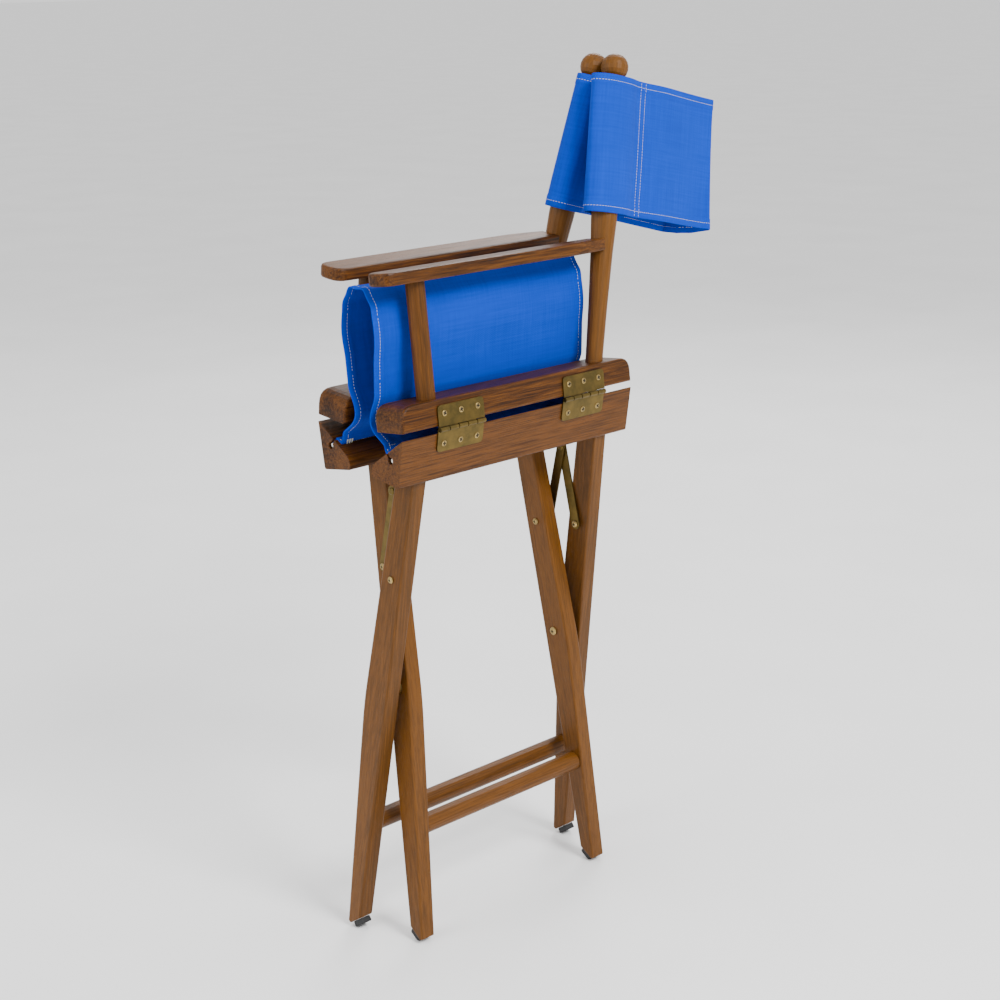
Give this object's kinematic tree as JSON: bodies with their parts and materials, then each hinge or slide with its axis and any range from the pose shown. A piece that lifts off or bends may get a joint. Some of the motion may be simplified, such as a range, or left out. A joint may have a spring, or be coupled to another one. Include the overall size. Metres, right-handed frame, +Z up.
{
  "type": "folding director chair",
  "caption": "Tall folding director chair in oiled teak with blue canvas seat and back, brass fittings, standing folded.",
  "frame": {"origin": "bottom centre of the box round the folded chair", "axes": "+Z up, front of the chair toward -Y, +X to the side of the frame whose legs are outermost"},
  "size_m": [0.1644, 0.6244, 1.0578],
  "materials": {
    "teak": "oiled teak, satin",
    "brass": "aged satin brass",
    "rod": "matt white rod",
    "rubber": "matt black",
    "canvas": "plain-weave canvas with off-white stitching"
  },
  "bodies": {
    "pivots": {"pivot_front_bolt": "brass", "pivot_back_bolt": "brass", "pivot_front_washer": "brass", "pivot_back_washer": "brass"},
    "near_frame": {"near_front_leg": "teak", "near_back_leg": "teak", "near_front_glide": "rubber", "near_back_glide": "rubber", "near_front_stay_bolt": "brass", "near_back_stay_bolt": "brass", "near_stretcher": "teak", "near_seat_rail": "teak", "near_seat_rod": "rod", "near_front_hinge_lower": "brass", "near_back_hinge_lower": "brass"},
    "near_arm": {"near_front_hinge_upper": "brass", "near_back_hinge_upper": "brass", "near_arm_rail": "teak", "near_armrest": "teak", "near_front_post": "teak", "near_back_post": "teak"},
    "near_front_stay": {"near_front_stay": "brass"},
    "near_back_stay": {"near_back_stay": "brass"},
    "near_seat_strip_1": {"near_seat_canvas_1": "canvas"},
    "near_seat_strip_2": {"near_seat_canvas_2": "canvas"},
    "near_seat_strip_3": {"near_seat_canvas_3": "canvas"},
    "near_seat_strip_4": {"near_seat_canvas_4": "canvas"},
    "near_seat_strip_5": {"near_seat_canvas_5": "canvas"},
    "near_back_panel": {"near_back_canvas_1": "canvas"},
    "near_back_slant": {"near_back_canvas_2": "canvas"},
    "near_back_fold": {"near_back_canvas_3": "canvas"},
    "far_frame": {"far_front_leg": "teak", "far_back_leg": "teak", "far_front_glide": "rubber", "far_back_glide": "rubber", "far_front_stay_bolt": "brass", "far_back_stay_bolt": "brass", "far_stretcher": "teak", "far_seat_rail": "teak", "far_seat_rod": "rod", "far_front_hinge_lower": "brass", "far_back_hinge_lower": "brass"},
    "far_arm": {"far_front_hinge_upper": "brass", "far_back_hinge_upper": "brass", "far_arm_rail": "teak", "far_armrest": "teak", "far_front_post": "teak", "far_back_post": "teak"},
    "far_front_stay": {"far_front_stay": "brass"},
    "far_back_stay": {"far_back_stay": "brass"},
    "far_seat_strip_1": {"far_seat_canvas_1": "canvas"},
    "far_seat_strip_2": {"far_seat_canvas_2": "canvas"},
    "far_seat_strip_3": {"far_seat_canvas_3": "canvas"},
    "far_seat_strip_4": {"far_seat_canvas_4": "canvas"},
    "far_seat_strip_5": {"far_seat_canvas_5": "canvas"},
    "far_back_panel": {"far_back_canvas_1": "canvas"},
    "far_back_slant": {"far_back_canvas_2": "canvas"},
    "far_back_fold": {"far_back_canvas_3": "canvas"}
  },
  "joints": [
    {"name": "fold", "type": "hinge", "parent": "pivots", "child": "near_frame", "pos_m": [0, -0.11638, 0.3235], "axis": [0, 1, 0], "range_deg": [0, 34.2]},
    {"name": "far_fold", "type": "hinge", "parent": "pivots", "child": "far_frame", "pos_m": [0, -0.11638, 0.3235], "axis": [0, -1, 0], "range_deg": [0, 34.7]},
    {"name": "near_arm_hinge", "type": "hinge", "parent": "near_frame", "child": "near_arm", "pos_m": [0.07917, -0.11638, 0.6558], "axis": [0, -1, 0], "range_deg": [0, 28.7]},
    {"name": "far_arm_hinge", "type": "hinge", "parent": "far_frame", "child": "far_arm", "pos_m": [-0.07917, -0.11638, 0.6558], "axis": [0, 1, 0], "range_deg": [0, 28.7]},
    {"name": "near_front_stay_hinge", "type": "hinge", "parent": "near_frame", "child": "near_front_stay", "pos_m": [0.02279, -0.25938, 0.47075], "axis": [0, -1, 0], "range_deg": [0, 111.74]},
    {"name": "near_back_stay_hinge", "type": "hinge", "parent": "near_frame", "child": "near_back_stay", "pos_m": [0.02279, 0.02662, 0.47075], "axis": [0, -1, 0], "range_deg": [0, 111.74]},
    {"name": "far_front_stay_hinge", "type": "hinge", "parent": "far_frame", "child": "far_front_stay", "pos_m": [-0.02279, -0.25938, 0.47075], "axis": [0, 1, 0], "range_deg": [0, 111.74]},
    {"name": "far_back_stay_hinge", "type": "hinge", "parent": "far_frame", "child": "far_back_stay", "pos_m": [-0.02279, 0.02662, 0.47075], "axis": [0, 1, 0], "range_deg": [0, 111.74]},
    {"name": "near_seat_canvas_bend_1", "type": "hinge", "parent": "near_frame", "child": "near_seat_strip_1", "pos_m": [0.04798, -0.13138, 0.63311], "axis": [0, -1, 0], "range_deg": [0, 67.7], "deforming": ["near_seat_canvas_1"]},
    {"name": "near_seat_canvas_bend_2", "type": "hinge", "parent": "near_seat_strip_1", "child": "near_seat_strip_2", "pos_m": [0.02198, -0.13138, 0.64999], "axis": [0, -1, 0], "range_deg": [0, 59], "deforming": ["near_seat_canvas_2"]},
    {"name": "near_seat_canvas_bend_3", "type": "hinge", "parent": "near_seat_strip_2", "child": "near_seat_strip_3", "pos_m": [0.02528, -0.13138, 0.77595], "axis": [0, 1, 0], "range_deg": [0, 11.4], "deforming": ["near_seat_canvas_3"]},
    {"name": "near_seat_canvas_bend_4", "type": "hinge", "parent": "near_seat_strip_3", "child": "near_seat_strip_4", "pos_m": [0.02169, -0.13138, 0.79765], "axis": [0, 1, 0], "range_deg": [0, 26.3], "deforming": ["near_seat_canvas_4"]},
    {"name": "near_seat_canvas_bend_5", "type": "hinge", "parent": "near_seat_strip_4", "child": "near_seat_strip_5", "pos_m": [0.00901, -0.13138, 0.81563], "axis": [0, 1, 0], "range_deg": [0, 55.3], "deforming": ["near_seat_canvas_5"]},
    {"name": "far_seat_canvas_bend_1", "type": "hinge", "parent": "far_frame", "child": "far_seat_strip_1", "pos_m": [-0.04798, -0.13138, 0.63311], "axis": [0, 1, 0], "range_deg": [0, 72.7], "deforming": ["far_seat_canvas_1"]},
    {"name": "far_seat_canvas_bend_2", "type": "hinge", "parent": "far_seat_strip_1", "child": "far_seat_strip_2", "pos_m": [-0.01882, -0.13138, 0.65589], "axis": [0, 1, 0], "range_deg": [0, 58.2], "deforming": ["far_seat_canvas_2"]},
    {"name": "far_seat_canvas_bend_3", "type": "hinge", "parent": "far_seat_strip_2", "child": "far_seat_strip_3", "pos_m": [-0.03084, -0.13138, 0.77629], "axis": [0, -1, 0], "range_deg": [0, 14.8], "deforming": ["far_seat_canvas_3"]},
    {"name": "far_seat_canvas_bend_4", "type": "hinge", "parent": "far_seat_strip_3", "child": "far_seat_strip_4", "pos_m": [-0.02763, -0.13138, 0.79755], "axis": [0, -1, 0], "range_deg": [0, 24.6], "deforming": ["far_seat_canvas_4"]},
    {"name": "far_seat_canvas_bend_5", "type": "hinge", "parent": "far_seat_strip_4", "child": "far_seat_strip_5", "pos_m": [-0.01601, -0.13138, 0.81564], "axis": [0, -1, 0], "range_deg": [0, 57.8], "deforming": ["far_seat_canvas_5"]},
    {"name": "near_back_canvas_turn", "type": "hinge", "parent": "near_arm", "child": "near_back_panel", "pos_m": [0.02735, 0.08633, 0.94791], "axis": [-0.1113, 0.2063, 0.9721], "range_deg": [0, 88.71], "deforming": ["near_back_canvas_1"]},
    {"name": "near_back_canvas_bend_1", "type": "hinge", "parent": "near_back_panel", "child": "near_back_slant", "pos_m": [0.02524, 0.28352, 0.90771], "axis": [0.183, -0.0864, -0.9793], "range_deg": [0, 46.53], "deforming": ["near_back_canvas_2"]},
    {"name": "near_back_canvas_bend_2", "type": "hinge", "parent": "near_back_slant", "child": "near_back_fold", "pos_m": [0.01468, 0.29317, 0.90321], "axis": [0.2052, -0.2196, -0.9538], "range_deg": [0, 44.5], "deforming": ["near_back_canvas_3"]},
    {"name": "far_back_canvas_turn", "type": "hinge", "parent": "far_arm", "child": "far_back_panel", "pos_m": [-0.02735, 0.08633, 0.94791], "axis": [-0.0837, -0.2318, -0.9692], "range_deg": [0, 88.42], "deforming": ["far_back_canvas_1"]},
    {"name": "far_back_canvas_bend_1", "type": "hinge", "parent": "far_back_panel", "child": "far_back_slant", "pos_m": [-0.02524, 0.28113, 0.8974], "axis": [-0.0785, 0.556, 0.8275], "range_deg": [0, 49.12], "deforming": ["far_back_canvas_2"]},
    {"name": "far_back_canvas_bend_2", "type": "hinge", "parent": "far_back_slant", "child": "far_back_fold", "pos_m": [-0.01469, 0.29179, 0.89721], "axis": [-0.2052, 0.2196, 0.9538], "range_deg": [0, 44.5], "deforming": ["far_back_canvas_3"]}
  ],
  "couplings": [
    {"joint": "far_fold", "follows": "fold", "ratio": 1},
    {"joint": "near_arm_hinge", "follows": "fold", "ratio": 0.82456},
    {"joint": "far_arm_hinge", "follows": "fold", "ratio": 0.82456},
    {"joint": "near_front_stay_hinge", "follows": "fold", "ratio": 3.2525},
    {"joint": "near_back_stay_hinge", "follows": "fold", "ratio": 3.2525},
    {"joint": "far_front_stay_hinge", "follows": "fold", "ratio": 3.2525},
    {"joint": "far_back_stay_hinge", "follows": "fold", "ratio": 3.2525},
    {"joint": "near_seat_canvas_bend_1", "follows": "fold", "ratio": 1.9649},
    {"joint": "near_seat_canvas_bend_2", "follows": "fold", "ratio": 1.7105},
    {"joint": "near_seat_canvas_bend_3", "follows": "fold", "ratio": 0.31871},
    {"joint": "near_seat_canvas_bend_4", "follows": "fold", "ratio": 0.75439},
    {"joint": "near_seat_canvas_bend_5", "follows": "fold", "ratio": 1.6023},
    {"joint": "far_seat_canvas_bend_1", "follows": "fold", "ratio": 2.1111},
    {"joint": "far_seat_canvas_bend_2", "follows": "fold", "ratio": 1.6871},
    {"joint": "far_seat_canvas_bend_3", "follows": "fold", "ratio": 0.41813},
    {"joint": "far_seat_canvas_bend_4", "follows": "fold", "ratio": 0.70468},
    {"joint": "far_seat_canvas_bend_5", "follows": "fold", "ratio": 1.6754},
    {"joint": "near_back_canvas_turn", "follows": "fold", "ratio": 2.5792},
    {"joint": "near_back_canvas_bend_1", "follows": "fold", "ratio": 1.3459},
    {"joint": "near_back_canvas_bend_2", "follows": "fold", "ratio": 1.2866},
    {"joint": "far_back_canvas_turn", "follows": "fold", "ratio": 2.5707},
    {"joint": "far_back_canvas_bend_1", "follows": "fold", "ratio": 1.4217},
    {"joint": "far_back_canvas_bend_2", "follows": "fold", "ratio": 1.2866}
  ]
}
